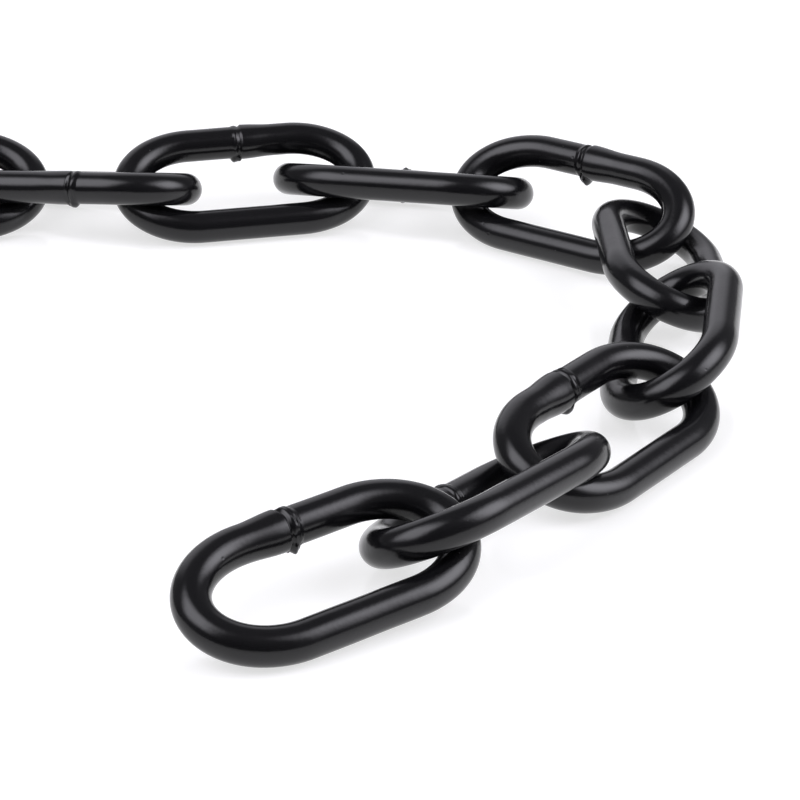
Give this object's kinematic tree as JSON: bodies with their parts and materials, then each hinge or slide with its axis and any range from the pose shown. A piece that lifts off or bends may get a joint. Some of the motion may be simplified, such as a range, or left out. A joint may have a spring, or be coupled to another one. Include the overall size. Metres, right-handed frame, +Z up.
{
  "type": "length of welded steel chain",
  "caption": "Length of black coated, side-welded long-link steel chain, laid loosely in a curve and turned back on itself.",
  "frame": {"origin": "middle of the laid chain's box, on the floor it lies on", "axes": "+Z up from the floor, +X along the laid chain's longest side, with the free end at +X and -Y"},
  "size_m": [0.3852, 0.256, 0.0241],
  "materials": {
    "black_coating": "deep black gloss coating over welded steel wire"
  },
  "bodies": {
    "root": {"link_01": "black_coating", "link_02": "black_coating", "link_03": "black_coating", "link_04": "black_coating", "link_05": "black_coating", "link_06": "black_coating", "link_07": "black_coating", "link_08": "black_coating", "link_09": "black_coating", "link_10": "black_coating", "link_11": "black_coating", "link_12": "black_coating", "link_13": "black_coating", "link_14": "black_coating", "link_15": "black_coating", "link_16": "black_coating", "link_17": "black_coating", "link_18": "black_coating", "link_19": "black_coating"}
  },
  "joints": []
}
